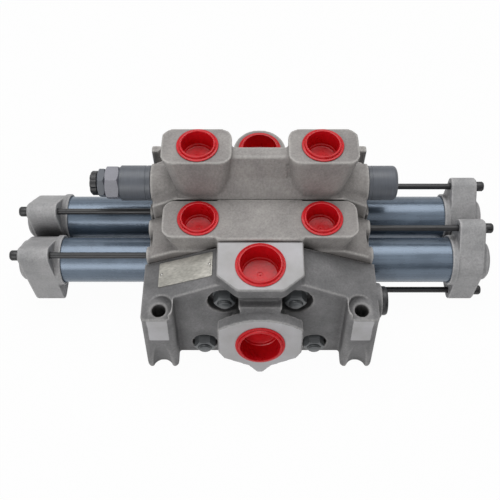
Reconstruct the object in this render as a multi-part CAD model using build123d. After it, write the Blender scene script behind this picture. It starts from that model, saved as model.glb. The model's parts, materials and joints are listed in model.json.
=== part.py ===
"""Two-spool directional control valve bank, front section with the two large ports and the feet.

The bank is drawn about the axis of its middle spool: X runs along the spools, Y from the front
section to the rear one and Z up. It is then stood on its feet, with the origin in the middle of
the four mounting holes. All sizes are in millimetres.
"""
import os
from math import cos, pi, radians, sin, tan

from build123d import *

# Bank layout
row_pitch = 52.3
spool_height = 45.0
middle_depth = 46.0
rear_depth = 55.0
body_half_width = 104.0
base_relief = 2.0
rows = {"middle": 0.0, "rear": row_pitch}
sides = {"left": -1, "right": 1}

# Running fits and gaps
slide_gap = 0.05
thread_gap = 0.05
seat_gap = 0.1
rod_gap = 0.5

# Front section casting
ridge_y = -64.0
front_toe_y = -81.0
shoulder_top = 58.8
shoulder_half_flat = 40.0
shoulder_angle = 23.0

# Feet of the front section
mount_x = 94.0
foot_inner_reach = 14.0
foot_outer_reach = 17.0
foot_top_y = -85.0
foot_toe_y = -98.0
foot_rib_top = 20.0
foot_toe_height = 6.0
foot_round = 5.5
spot_face_z = 32.0
spot_face_radius = 13.0
pad_width = 19.0
pad_bottom = 0.0
pad_relief = 1.2
channel_radius = 10.0
channel_depth = 7.5
front_mount_y = -75.0
rear_mount_y = 88.0
mount_hole_radius = 6.5

# Large top port of the front section
top_port_y = -48.3
top_port_z = 68.5
top_boss_half = 39.8
top_boss_corner_y = -59.0
top_boss_nose_half = 21.0
top_boss_nose_y = -75.0
top_boss_depth = 13.0
top_boss_corner_round = 3.0
top_boss_nose_round = 9.0
top_passage_drop = 20.0
neck_half = 20.0
neck_root = 10.0
neck_front_y = -84.0
neck_top_z = 46.0
neck_step = 4.0

# Large tilted port of the front section
tilt_port_y = -103.3
tilt_port_z = 17.4
tilt_angle = 73.0
tilt_half_width = 39.0
tilt_shoulder = 19.0
tilt_crown = 31.5
tilt_flank = -10.0
tilt_cheek_x = 33.8
tilt_cheek = -18.5
tilt_chin_x = 10.0
tilt_chin = -29.5
tilt_tab_x = 3.0
tilt_tab = -38.0
tilt_tab_round = 1.5
tilt_cheek_round = 4.0
tilt_flange = 13.0
tilt_neck_radius = 26.0
tilt_depth = 46.0

# Port sizes: radius of the plug's flange, of its stem and of the passage below it
work_port = {"flange": 19.5, "stem": 16.0, "depth": 18.0, "passage": 10.0}
large_port = {"flange": 23.0, "stem": 20.0, "depth": 20.0, "passage": 14.0}
rear_port = {"flange": 20.75, "stem": 17.2, "depth": 18.0, "passage": 12.0}
plug_flange_thickness = 3.2
plug_rim = 4.6
plug_edge = 1.0
plug_slope = 2.2
plug_draft = 1.5
plug_floor = 2.5
plug_tip = 1.0
plug_tip_rise = 3.0

# Work ports
work_port_x = 58.0
middle_port_z = 72.5
rear_port_rise = 42.5
boss_outer_x = 92.0
boss_inner_x = 26.0
boss_half_depth = 21.0
boss_corner = 11.5
boss_root_corner = 16.0
root_overlap = 2.0

# Section bodies
shoulder_outer_z = 41.0
shoulder_inner_x = 80.0
middle_shoulder_z = 52.0
rear_shoulder_z = 72.0
rear_shoulder_outer_z = 60.0
centre_half_width = 40.0
saddle_drop = 0.6
rear_roof_z = rear_shoulder_z - 6.0

# Centre block and third port of the rear section
block_left_x = -29.0
block_right_x = 25.0
block_top_z = 112.0
block_front_y = 41.0
block_back_y = 54.0
block_edge = 2.0
ledge_y = 34.0
ledge_z = 90.0
third_port_y = 77.0
third_port_z = 81.5
third_boss_radius = 25.5
third_passage_floor = 36.5
third_boss_floor = -23.0

# Rear feet and ears
rear_foot_outer_reach = 16.0
rear_foot_inner_reach = 11.0
rear_foot_back_y = 101.0
rear_foot_top = -22.0
ear_width = 10.0
ear_front_y = 93.0
ear_top_z = 60.0
head_clearance_radius = 10.5

# Round pads on the sides that take the spring tubes and the cap bolts
pad_rise = 5.0
pad_radius = 25.0
bolt_y = 16.0
bolt_z = 33.5
lobe_radius = 8.5

# Spring tubes and end caps
tube_radius = 22.6
tube_wall = 3.5
tube_seat_depth = 3.0
tube_length = {"left": 97.0, "right": 91.0}
collar_radius = 25.3
collar_length = 6.0
cap_flange = {"left": 30.0, "right": 26.0}
cap_dome = 7.0
cap_dome_radius = 20.0
cap_dome_chamfer = 3.0
cap_lobe_radius = 9.0
cap_spigot = 6.0
cap_edge = 2.0
cap_waist = 1.5
pilot_port_radius = 6.45
pilot_port_depth = 12.0
pilot_drill_radius = 2.5

# Long bolts that hold each cap and tube
bolt_radius = 3.0
bolt_hole_gap = 0.4
bolt_head_radius = 5.0
bolt_head_height = 8.0
bolt_key_radius = 2.5
bolt_key_depth = 4.0
bolt_thread_length = 16.0

# Spools
spool_radius = 12.5
spool_groove_radius = 8.5
cutter_margin = 1.0
spool_overhang = 11.0
cavity_radius = 16.0
cavity_width = 14.0
tank_cavity_x = 84.0
land_gap = 16.0

# Spring seats and centring springs
seat_radius = 16.0
seat_thickness = 5.0
seat_screw_radius = 4.0
seat_screw_length = 14.0
screw_hole_spare = 2.0
seat_screw_head_radius = 6.5
seat_screw_head = 6.0
spring_radius = 12.6
spring_wire = 3.2
spring_turns = 6
spring_steps = 9

# Oil galleries that run through all three sections
pressure_gallery_z = 27.0
gallery_radius = 8.0
tank_gallery_x = 78.0
tank_gallery_z = -24.0
gallery_end = 12.0
seal_radius = 11.0
seal_section = 1.4

# Tie rods
rod_radius = 6.0
upper_rod_x = 32.8
upper_rod_z = 35.5
lower_rod_x = 54.0
lower_rod_z = -29.0
upper_seat_y = -58.0
lower_seat_y = -72.0
nut_across_flats = 18.0
nut_height = 10.0
washer_radius = 11.5
washer_thickness = 2.0
rod_stub = 3.0
upper_pocket_radius = 16.0
lower_pocket_radius = 12.3

# Load checks under each spool
check_radius = 8.5
check_length = 10.0
check_bore_top = -20.0
check_seat_radius = 5.5
check_nose = 3.0
check_plug_radius = 10.0
check_plug_height = 8.0
check_spring_radius = 4.4
check_spring_wire = 1.2
check_spring_turns = 4
check_cup_radius = 5.6
check_cup_depth = 8.0
check_key_radius = 4.0
check_key_depth = 5.0

# Relief cartridge on the left and make-up check on the right of the rear section
side_valve_z = 59.6
side_valve_set_in = 3.0
side_boss_radius = 19.0
cartridge_stem_radius = 12.0
cartridge_stem_length = 30.0
cartridge_radius = 17.3
cartridge_head_length = 31.0
hex_across_flats = 30.0
hex_length = 14.0
cartridge_bore_radius = 7.0
relief_seat_radius = 4.5
relief_wall = 4.0
relief_poppet_radius = 6.95
relief_poppet_length = 9.0
relief_nose = 3.0
relief_spring_radius = 4.9
relief_spring_wire = 1.6
relief_spring_length = 26.0
relief_spring_turns = 5
adjuster_radius = 4.0
adjuster_plate_radius = 6.6
adjuster_plate = 4.0
lock_nut_across_flats = 26.0
lock_nut_height = 7.5
knob_radius = 12.0
knob_length = 7.5
knob_key_across_flats = 6.0
makeup_length = 28.5
makeup_radius = 17.0
makeup_edge_radius = 4.0
makeup_poppet_radius = 8.95
makeup_poppet_wall = 2.0
makeup_poppet_length = 14.0
makeup_bore_radius = 9.0
makeup_spring_radius = 5.6
makeup_spring_wire = 1.4
makeup_spring_turns = 5

# Blank nameplate on the left shoulder
plate_length = 56.0
pin_inset = 3.0
plate_width = 26.0
plate_thickness = 0.8
plate_edge = 15.5
plate_rear_y = -27.0
plate_corner = 1.5
pin_radius = 1.6
pin_height = 1.0

# Side plug of the front section
side_plug_y = -54.0
side_plug_z = 12.0
side_plug_boss_radius = 17.0
side_plug_boss = 5.0
side_plug_radius = 14.0
side_plug_head = 5.5
side_plug_key_across_flats = 8.0
side_plug_stem_radius = 9.0
side_plug_stem = 14.0

# Worked out from the sizes above
joint_front_y = -middle_depth / 2
joint_rear_y = middle_depth / 2
rear_wall_y = joint_rear_y + rear_depth
body_base = -spool_height + base_relief
rear_port_z = middle_port_z + rear_port_rise
rear_port_y = row_pitch
mount_middle_y = (front_mount_y + rear_mount_y) / 2
front_half_width = mount_x + foot_outer_reach
foot_inner_x = mount_x - foot_inner_reach
foot_middle_x = (foot_inner_x + front_half_width) / 2
rear_foot_outer_x = mount_x + rear_foot_outer_reach
rear_foot_inner_x = mount_x - rear_foot_inner_reach
pad_reach = body_half_width + pad_rise
side_valve_x = pad_reach - side_valve_set_in
tube_end = {name: pad_reach - tube_seat_depth + tube_length[name] for name in sides}
tube_bore_radius = tube_radius - tube_wall
spool_half_length = pad_reach + spool_overhang
plate_inner_x = front_half_width - plate_edge - plate_length * cos(radians(shoulder_angle))


def cylinder_x(x0, x1, y, z, radius):
    """Round bar along X from x0 to x1."""
    bar = Cylinder(radius, abs(x1 - x0), rotation=(0, 90, 0))
    return Pos((x0 + x1) / 2, y, z) * bar


def cylinder_y(y0, y1, x, z, radius):
    """Round bar along Y from y0 to y1."""
    bar = Cylinder(radius, abs(y1 - y0), rotation=(90, 0, 0))
    return Pos(x, (y0 + y1) / 2, z) * bar


def cylinder_z(z0, z1, x, y, radius):
    """Round bar along Z from z0 to z1."""
    return Pos(x, y, (z0 + z1) / 2) * Cylinder(radius, abs(z1 - z0))


def block(x0, x1, y0, y1, z0, z1):
    """Plain block between two corners."""
    size = (abs(x1 - x0), abs(y1 - y0), abs(z1 - z0))
    return Pos((x0 + x1) / 2, (y0 + y1) / 2, (z0 + z1) / 2) * Box(*size)


def outline(corners):
    """Closed face from corners given as (u, v) or (u, v, corner radius)."""
    points = [corner[:2] for corner in corners]
    radii = [corner[2] if len(corner) > 2 else 0 for corner in corners]
    if any(radii):
        return make_face(FilletPolyline(*points, radius=radii, close=True).edges())
    return Polygon(*points, align=None)


def prism_x(corners, x0, x1):
    """Outline in (Y, Z) drawn out along X from x0 to x1."""
    return Pos(x0, 0, 0) * extrude(Plane.YZ * outline(corners), amount=x1 - x0, dir=(1, 0, 0))


def prism_y(corners, y0, y1):
    """Outline in (X, Z) drawn out along Y from y0 to y1."""
    return Pos(0, y0, 0) * extrude(Plane.XZ * outline(corners), amount=y1 - y0, dir=(0, 1, 0))


def mirrored(corners):
    """Right half of an outline, from bottom to top, joined to its mirror image in X."""
    left = [(-corner[0],) + tuple(corner[1:]) for corner in reversed(corners)]
    return list(corners) + left


def spring(radius, wire, length, turns):
    """Coil spring along +X from the origin, its wire bent in short straight runs."""
    rise = length - wire
    steps = turns * spring_steps
    points = []
    for step in range(steps + 1):
        angle = 2 * pi * step / spring_steps
        points.append((radius * cos(angle), radius * sin(angle), rise * step / steps))
    path = Polyline(*points)
    section = Plane(origin=path @ 0, z_dir=path % 0) * RegularPolygon(wire / 2, 6)
    coil = sweep(section, path=path, transition=Transition.RIGHT)
    return Pos(wire / 2, 0, 0) * Rot(0, 90, 0) * coil


def shoulder_height(x):
    """Height of the front section's sloping shoulder above the spool axis."""
    return shoulder_top - tan(radians(shoulder_angle)) * (abs(x) - shoulder_half_flat)


def tilted_plane():
    """Plane of the tilted port's face: its local Y runs up the slope."""
    normal = (0, -sin(radians(tilt_angle)), cos(radians(tilt_angle)))
    return Plane(origin=(0, tilt_port_y, tilt_port_z), x_dir=(1, 0, 0), z_dir=normal)


def galleries(y0, y1):
    """Pressure and tank galleries drilled along Y."""
    cut = cylinder_y(y0, y1, 0, pressure_gallery_z, gallery_radius)
    for side in sides.values():
        cut += cylinder_y(y0, y1, side * tank_gallery_x, tank_gallery_z, gallery_radius)
    return cut


def gallery_centres():
    """Where the galleries cross a joint face, as (x, z)."""
    centres = [(side * tank_gallery_x, tank_gallery_z) for side in sides.values()]
    return [(0, pressure_gallery_z)] + centres


def seal_grooves(y, inward):
    """Ring grooves in a joint face; inward is +1 when the casting lies towards +Y."""
    depth = 2 * seal_section - seat_gap
    width = seal_section + seat_gap
    grooves = []
    for x, z in gallery_centres():
        outer = cylinder_y(y, y + inward * depth, x, z, seal_radius + width)
        inner = cylinder_y(y, y + inward * depth, x, z, seal_radius - width)
        grooves.append(outer - inner)
    return grooves


def tie_rod_places():
    """Centres of the four tie rods as (x, z)."""
    upper = [(side * upper_rod_x, upper_rod_z) for side in sides.values()]
    lower = [(side * lower_rod_x, lower_rod_z) for side in sides.values()]
    return upper + lower


def rod_holes(y0, y1):
    """Clearance holes for the tie rods."""
    radius = rod_radius + rod_gap
    return [cylinder_y(y0, y1, x, z, radius) for x, z in tie_rod_places()]


def port_bore(port, face_z, x, y, floor_z):
    """Port with a wide mouth for the stem of its plug and a narrower passage below."""
    mouth = cylinder_z(face_z - port["depth"], face_z, x, y, port["stem"] + seat_gap)
    return mouth + cylinder_z(floor_z, face_z, x, y, port["passage"])


def bolt_places(side):
    """Centres of the two bolts of a cap as (y, z) from its tube: the left cap is turned round."""
    return [(side * bolt_y, bolt_z), (-side * bolt_y, -bolt_z)]


def side_pad(row_y, side):
    """Raised pad round a spool's bore, with four lobes for the bolts of the cap."""
    inner_x = side * (body_half_width - lobe_radius)
    pad = cylinder_x(inner_x, side * pad_reach, row_y, 0, pad_radius)
    for y in (-bolt_y, bolt_y):
        lobe = block(inner_x, side * pad_reach, row_y + y - lobe_radius, row_y + y + lobe_radius,
                     -bolt_z, bolt_z)
        pad += lobe
        for z in (-bolt_z, bolt_z):
            pad += cylinder_x(inner_x, side * pad_reach, row_y + y, z, lobe_radius)
    room = block(inner_x, side * pad_reach, row_y + joint_front_y, row_y + joint_rear_y,
                 body_base, row_pitch)
    return pad & room


def spool_cuts(row_y):
    """Everything that a spool and its two ends need cut out of a section."""
    cuts = [cylinder_x(-pad_reach, pad_reach, row_y, 0, spool_radius + slide_gap)]
    for x in (-tank_cavity_x, -work_port_x, 0, work_port_x, tank_cavity_x):
        cuts.append(cylinder_x(x - cavity_width / 2, x + cavity_width / 2, row_y, 0, cavity_radius))
    for side in sides.values():
        mouth_x = side * (pad_reach - tube_seat_depth)
        cuts.append(cylinder_x(mouth_x, side * pad_reach, row_y, 0, tube_radius + seat_gap))
        for y, z in bolt_places(side):
            floor_x = side * (pad_reach - bolt_thread_length - seat_gap)
            radius = bolt_radius + thread_gap
            cuts.append(cylinder_x(floor_x, side * pad_reach, row_y + y, z, radius))
    return cuts


def load_check_cuts(row_y):
    """Bore for a load check, drilled from below into the spool's pressure cavity."""
    bore = cylinder_z(body_base, check_bore_top, 0, row_y, check_radius + slide_gap)
    bore += cylinder_z(check_bore_top, 0, 0, row_y, check_seat_radius)
    plug_top = body_base + check_plug_height
    return bore + cylinder_z(body_base, plug_top, 0, row_y, check_plug_radius + thread_gap)


def work_boss(side, row_y, face_z, root_z, root_inner_x, root_outer_x, root_front):
    """Rounded boss of a work port, narrowing from its face down to the section's shoulder."""
    def rounded_face(inner_x, outer_x, front_y, back_y, z, corner):
        size = (outer_x - inner_x, back_y - front_y)
        middle = (side * (inner_x + outer_x) / 2, (front_y + back_y) / 2, z)
        return Pos(*middle) * RectangleRounded(*size, corner)

    back_y = row_y + boss_half_depth
    top = rounded_face(boss_inner_x, boss_outer_x, row_y - boss_half_depth, back_y, face_z,
                       boss_corner)
    foot = rounded_face(root_inner_x, root_outer_x, root_front, back_y, root_z,
                        boss_root_corner)
    return loft([foot, top])


def middle_section():
    """Working section: ports on top, one spool, flat joint faces front and rear."""
    shape = prism_y(mirrored([
        (body_half_width, body_base),
        (body_half_width, shoulder_outer_z),
        (shoulder_inner_x, middle_shoulder_z),
        (centre_half_width, middle_shoulder_z),
        (centre_half_width, middle_port_z - saddle_drop),
    ]), joint_front_y, joint_rear_y)
    for side in sides.values():
        shape += work_boss(side, 0, middle_port_z, middle_shoulder_z - root_overlap, boss_inner_x,
                           boss_outer_x - 6, -boss_half_depth)
        shape += side_pad(0, side)
    shape -= spool_cuts(0)
    shape -= load_check_cuts(0)
    for side in sides.values():
        shape -= port_bore(work_port, middle_port_z, side * work_port_x, 0, 0)
    shape -= galleries(joint_front_y, joint_rear_y)
    shape -= rod_holes(joint_front_y, joint_rear_y)
    return shape


def rear_foot(side):
    """Foot lug behind the rear section, with a tall ear at its outer corner."""
    foot = block(side * rear_foot_inner_x, side * rear_foot_outer_x, rear_wall_y - root_overlap,
                 rear_foot_back_y, -spool_height, rear_foot_top)
    ear_inner_x = rear_foot_outer_x - ear_width
    ear = block(side * ear_inner_x, side * rear_foot_outer_x, ear_front_y, rear_foot_back_y,
                rear_foot_top, ear_top_z)
    web = block(side * rear_foot_inner_x, side * rear_foot_outer_x, rear_wall_y - root_overlap,
                rear_foot_back_y, -spool_height, body_base)
    return foot + ear + web


def rear_section():
    """End section: its own spool and work ports on tall bosses, and the third port."""
    shape = prism_y(mirrored([
        (body_half_width, body_base),
        (body_half_width, rear_shoulder_outer_z),
        (shoulder_inner_x, rear_shoulder_z),
    ]), joint_rear_y, rear_wall_y)
    for side in sides.values():
        shape += work_boss(side, row_pitch, rear_port_z, rear_shoulder_z - root_overlap,
                           boss_inner_x + root_overlap,
                           shoulder_inner_x, joint_rear_y + 1)
        shape += side_pad(row_pitch, side)
        shape += cylinder_x(side * work_port_x, side * side_valve_x, row_pitch, side_valve_z,
                            side_boss_radius)
        shape += rear_foot(side)
    block_outline = [
        (joint_rear_y, rear_roof_z),
        (joint_rear_y, rear_shoulder_z),
        (ledge_y, ledge_z),
        (block_front_y, block_top_z, block_edge),
        (block_back_y, block_top_z, block_edge),
        (block_back_y, third_port_z),
        (third_port_y, third_port_z),
        (third_port_y, rear_roof_z),
    ]
    shape += prism_x(block_outline, block_left_x, block_right_x)
    ledge_outline = [
        (joint_rear_y, rear_roof_z),
        (joint_rear_y, rear_shoulder_z),
        (ledge_y, ledge_z),
        (block_front_y, ledge_z),
        (rear_port_y, rear_roof_z),
    ]
    shape += prism_x(ledge_outline, -centre_half_width, centre_half_width)
    shape += cylinder_z(third_boss_floor, third_port_z, 0, third_port_y, third_boss_radius)
    shape -= spool_cuts(row_pitch)
    shape -= load_check_cuts(row_pitch)
    for side in sides.values():
        shape -= port_bore(work_port, rear_port_z, side * work_port_x, row_pitch, 0)
        mouth_x = side * side_valve_x
        floor_x = mouth_x - side * cartridge_stem_length
        shape -= cylinder_x(floor_x - side, mouth_x, row_pitch, side_valve_z,
                            cartridge_stem_radius + thread_gap)
        shape -= cylinder_z(-spool_height, rear_foot_top, side * mount_x, rear_mount_y,
                            mount_hole_radius)
        shape -= cylinder_z(rear_foot_top, ear_top_z, side * mount_x, rear_mount_y,
                            head_clearance_radius)
    shape -= port_bore(rear_port, third_port_z, 0, third_port_y, third_passage_floor)
    shape -= galleries(joint_rear_y, row_pitch + gallery_end)
    shape -= seal_grooves(joint_rear_y, 1)
    shape -= rod_holes(joint_rear_y, rear_wall_y)
    for x, z in tie_rod_places():
        shape -= cylinder_y(rear_wall_y, rear_foot_back_y, x, z, lower_pocket_radius)
    return shape


def front_foot(side):
    """Foot of the front section: rounded lug, a flat pad on its front and a channel below."""
    root_y = ridge_y + spot_face_radius

    def plan(front_y, z):
        return Pos(0, 0, z) * outline([
            (side * foot_inner_x, root_y), (side * foot_inner_x, front_y, foot_round),
            (side * front_half_width, front_y, foot_round), (side * front_half_width, root_y),
        ])

    toe_z = -spool_height + foot_toe_height
    body = extrude(plan(foot_toe_y, -spool_height), amount=foot_toe_height, dir=(0, 0, 1))
    body += loft([plan(foot_toe_y, toe_z), plan(foot_top_y, foot_rib_top)])
    body += extrude(plan(foot_top_y, foot_rib_top), amount=shoulder_top - foot_rib_top,
                    dir=(0, 0, 1))
    slope = (foot_top_y - foot_toe_y) / (foot_rib_top - toe_z)
    pad = prism_x([
        (root_y, pad_bottom),
        (foot_top_y - slope * (foot_rib_top - pad_bottom) - pad_relief, pad_bottom),
        (foot_top_y - pad_relief, foot_rib_top),
        (foot_top_y - pad_relief, spot_face_z),
        (root_y, spot_face_z),
    ], side * foot_middle_x - pad_width / 2, side * foot_middle_x + pad_width / 2)
    channel_y = foot_toe_y + channel_depth - channel_radius
    channel = cylinder_z(-spool_height, pad_bottom, side * foot_middle_x, channel_y,
                         channel_radius)
    return body + pad - channel


def shoulder_envelope():
    """Everything under the front section's two sloping shoulders."""
    return prism_y(mirrored([
        (front_half_width, -spool_height),
        (front_half_width, shoulder_height(front_half_width)),
        (shoulder_half_flat, shoulder_top),
    ]), foot_toe_y, joint_front_y)


def top_boss():
    """Boss of the large top port, drawn in to a narrower neck below."""
    def plan(grow, z):
        half = top_boss_half + grow
        nose = top_boss_nose_half + grow
        face = outline([
            (half, joint_front_y), (half, top_boss_corner_y - grow, top_boss_corner_round),
            (nose, top_boss_nose_y - grow, top_boss_nose_round),
            (-nose, top_boss_nose_y - grow, top_boss_nose_round),
            (-half, top_boss_corner_y - grow, top_boss_corner_round), (-half, joint_front_y),
        ])
        return Pos(0, 0, z) * face

    under_z = top_port_z - top_boss_depth
    boss = extrude(plan(0, under_z), amount=top_boss_depth, dir=(0, 0, 1))
    return boss + loft([plan(-9, under_z - 22), plan(0, under_z)])


def tilted_boss():
    """Boss of the tilted port: a flange square to its axis on a round neck."""
    rise = tilt_crown - tilt_shoulder
    crown_radius = (tilt_half_width ** 2 + rise ** 2) / (2 * rise)
    cheeks = outline(mirrored([
        (tilt_tab_x, tilt_tab, tilt_tab_round),
        (tilt_chin_x, tilt_chin),
        (tilt_cheek_x, tilt_cheek, tilt_cheek_round),
        (tilt_half_width, tilt_flank, tilt_cheek_round),
        (tilt_half_width, tilt_shoulder),
    ]))
    crown = Pos(0, tilt_crown - crown_radius) * Circle(crown_radius)
    crown &= Pos(0, tilt_crown / 2) * Rectangle(2 * tilt_half_width, tilt_crown)
    flange = extrude(tilted_plane() * (cheeks + crown), amount=-tilt_flange)
    return flange + extrude(tilted_plane() * Circle(tilt_neck_radius), amount=-tilt_depth)


def front_section():
    """Front casting: two large ports, sloping shoulders, two feet and the tie rod pockets."""
    wedge = prism_x([
        (joint_front_y, body_base),
        (front_toe_y, body_base),
        (ridge_y, shoulder_top),
        (joint_front_y, shoulder_top),
    ], -front_half_width, front_half_width)
    shape = wedge
    for side in sides.values():
        shape += front_foot(side)
    shape &= shoulder_envelope()
    shape += top_boss()
    shape += prism_x([
        (ridge_y + neck_root, 0),
        (neck_front_y, 0),
        (neck_front_y, neck_top_z - neck_step),
        (neck_front_y + neck_step, neck_top_z),
        (top_boss_nose_y + neck_step, neck_top_z),
        (top_boss_nose_y + neck_step, top_port_z - top_boss_depth),
        (ridge_y + neck_root, top_port_z - top_boss_depth),
    ], -neck_half, neck_half)
    for side in sides.values():
        shape -= cylinder_y(foot_toe_y, upper_seat_y, side * upper_rod_x, upper_rod_z,
                            upper_pocket_radius)
        shape -= cylinder_y(foot_toe_y, lower_seat_y, side * lower_rod_x, lower_rod_z,
                            lower_pocket_radius)
        shape -= cylinder_z(spot_face_z, shoulder_top, side * mount_x, front_mount_y,
                            spot_face_radius)
        shape -= cylinder_z(-spool_height, spot_face_z, side * mount_x, front_mount_y,
                            mount_hole_radius)
    shape += tilted_boss()
    shape += cylinder_x(front_half_width - side_plug_boss, front_half_width + side_plug_boss,
                        side_plug_y, side_plug_z, side_plug_boss_radius)
    shape -= port_bore(large_port, top_port_z, 0, top_port_y, pressure_gallery_z - top_passage_drop)
    mouth = Circle(large_port["stem"] + seat_gap)
    shape -= extrude(tilted_plane() * mouth, amount=-large_port["depth"])
    shape -= extrude(tilted_plane() * Circle(large_port["passage"]), amount=-tilt_depth)
    shape -= cylinder_x(front_half_width - side_plug_stem, front_half_width + side_plug_boss,
                        side_plug_y, side_plug_z, side_plug_stem_radius + thread_gap)
    shape -= galleries(top_port_y, joint_front_y)
    shape -= seal_grooves(joint_front_y, -1)
    shape -= rod_holes(lower_seat_y, joint_front_y)
    return shape


def spool(row_y):
    """Spool with a land between each pair of cavities and a threaded hole in each end."""
    shape = cylinder_x(-spool_half_length, spool_half_length, row_y, 0, spool_radius)
    for side in sides.values():
        inner_x = side * (cavity_width / 2 + land_gap / 2)
        outer_x = side * (work_port_x - cavity_width / 2)
        shape -= ring_x(inner_x, outer_x, row_y, spool_radius + cutter_margin, spool_groove_radius)
        neck_x = side * (tank_cavity_x - cavity_width / 2)
        shape -= ring_x(neck_x, side * tank_cavity_x, row_y, spool_radius + cutter_margin,
                        spool_groove_radius)
        end_x = side * spool_half_length
        shape -= cylinder_x(end_x - side * (seat_screw_length + screw_hole_spare), end_x, row_y, 0,
                            seat_screw_radius + thread_gap)
    return shape


def ring_x(x0, x1, row_y, outer, inner, z=0.0):
    """Ring round an axis along X."""
    return cylinder_x(x0, x1, row_y, z, outer) - cylinder_x(x0, x1, row_y, z, inner)


def spring_seats(row_y):
    """Pair of seats on the spool's ends, each a dished washer for its spring."""
    seats = []
    for side in sides.values():
        inner_x = side * spool_half_length
        outer_x = inner_x + side * seat_thickness
        seat = cylinder_x(inner_x, outer_x, row_y, 0, seat_radius)
        seat -= cylinder_x(inner_x, outer_x, row_y, 0, seat_screw_radius + seat_gap)
        seats.append(seat)
    return seats


def seat_screws(row_y):
    """Pair of socket screws that hold the seats."""
    screws = []
    for side in sides.values():
        face_x = side * (spool_half_length + seat_thickness)
        head_x = face_x + side * seat_screw_head
        screw = cylinder_x(face_x, head_x, row_y, 0, seat_screw_head_radius)
        screw += cylinder_x(face_x - side * (seat_thickness + seat_screw_length), face_x, row_y,
                            0, seat_screw_radius)
        screw -= cylinder_x(head_x - side * 3, head_x, row_y, 0, seat_screw_radius / 2)
        screws.append(screw)
    return screws


def centring_spring(row_y, side_name):
    """Spring between a seat and the spigot of the cap."""
    start = spool_half_length + seat_thickness
    length = tube_end[side_name] - cap_spigot - start
    coil = spring(spring_radius, spring_wire, length, spring_turns)
    turn = 0 if side_name == "right" else 180
    return Pos(sides[side_name] * start, row_y, 0) * Rot(0, 0, turn) * coil


def spring_tube(row_y, side_name):
    """Plain tube round the spring, seated in the section's pad and in the cap's collar."""
    side = sides[side_name]
    inner_x = side * (pad_reach - tube_seat_depth)
    return ring_x(inner_x, side * tube_end[side_name], row_y, tube_radius, tube_bore_radius)


def end_cap(row_y, side_name):
    """Cap with a collar for the tube, lobes for the bolts and a pilot port in its domed end."""
    side = sides[side_name]
    face_x = side * tube_end[side_name]
    outer_x = face_x + side * cap_flange[side_name]
    port_x = outer_x + side * cap_dome
    lobes = bolt_places(side) + [(side * bolt_y, -bolt_z)]
    plan = make_hull((Circle(collar_radius - cap_waist)
                      + [Pos(y, z) * Circle(cap_lobe_radius) for y, z in lobes]).edges())
    flange = extrude(Plane.YZ * plan, amount=cap_flange[side_name], dir=(side, 0, 0))
    outer = flange.faces().sort_by(Axis.X)[-1 if side > 0 else 0]
    cap = Pos(face_x, row_y, 0) * chamfer(outer.edges(), cap_edge)
    dome = cylinder_x(outer_x, port_x, row_y, 0, cap_dome_radius)
    tip = dome.faces().sort_by(Axis.X)[-1 if side > 0 else 0]
    cap += chamfer(tip.edges(), cap_dome_chamfer)
    cap += ring_x(face_x - side * collar_length, face_x, row_y, collar_radius,
                  tube_radius + seat_gap)
    cap += cylinder_x(face_x - side * cap_spigot, face_x, row_y, 0, tube_bore_radius - seat_gap)
    cap -= cylinder_x(port_x - side * pilot_port_depth, port_x, row_y, 0, pilot_port_radius)
    cap -= cylinder_x(face_x - side * cap_spigot, port_x, row_y, 0, pilot_drill_radius)
    for y, z in bolt_places(side):
        cap -= cylinder_x(face_x, outer_x, row_y + y, z, bolt_radius + bolt_hole_gap)
    return cap


def cap_bolts():
    """Long socket-head bolts of all four caps."""
    bolts = []
    for row_y in rows.values():
        for side_name, side in sides.items():
            head_x = side * (tube_end[side_name] + cap_flange[side_name])
            tip_x = side * (pad_reach - bolt_thread_length)
            end_x = head_x + side * bolt_head_height
            for y, z in bolt_places(side):
                bolt = cylinder_x(tip_x, head_x, row_y + y, z, bolt_radius)
                bolt += cylinder_x(head_x, end_x, row_y + y, z, bolt_head_radius)
                bolt -= cylinder_x(end_x - side * bolt_key_depth, end_x, row_y + y, z, bolt_key_radius)
                bolts.append(bolt)
    return bolts


def hexagon_y(y0, y1, x, z, across_flats):
    """Hexagonal bar along Y."""
    face = RegularPolygon(across_flats / 2, 6, major_radius=False)
    bar = extrude(Plane.XZ * face, amount=y1 - y0, dir=(0, 1, 0))
    return Pos(x, y0, z) * bar


def hexagon_x(x0, x1, y, z, across_flats):
    """Hexagonal bar along X."""
    face = RegularPolygon(across_flats / 2, 6, major_radius=False)
    bar = extrude(Plane.YZ * face, amount=abs(x1 - x0), dir=(1, 0, 0))
    return Pos(min(x0, x1), y, z) * bar


def rod_seats():
    """Each rod's x and z with the faces its front and rear washers lie on."""
    seats = []
    for x, z in tie_rod_places():
        front_y = upper_seat_y if z > 0 else lower_seat_y
        seats.append((x, z, front_y, rear_wall_y))
    return seats


def tie_rods(upper):
    """Pair of tie rods, the upper or the lower one."""
    reach = washer_thickness + nut_height + rod_stub
    places = [seat for seat in rod_seats() if (seat[1] > 0) == upper]
    return [cylinder_y(y0 - reach, y1 + reach, x, z, rod_radius) for x, z, y0, y1 in places]


def tie_rod_washers():
    """Washers under the nuts at both ends of each rod."""
    washers = []
    for x, z, front_y, back_y in rod_seats():
        for y, out in ((front_y, -1), (back_y, 1)):
            disc = cylinder_y(y, y + out * washer_thickness, x, z, washer_radius)
            washers.append(disc - cylinder_y(y, y + out * washer_thickness, x, z,
                                             rod_radius + thread_gap))
    return washers


def tie_rod_nuts():
    """Nuts at both ends of each rod."""
    nuts = []
    for x, z, front_y, back_y in rod_seats():
        front = front_y - washer_thickness
        back = back_y + washer_thickness
        for y0, y1 in ((front - nut_height, front), (back, back + nut_height)):
            nut = hexagon_y(y0, y1, x, z, nut_across_flats)
            nuts.append(nut - cylinder_y(y0, y1, x, z, rod_radius + thread_gap))
    return nuts


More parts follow.
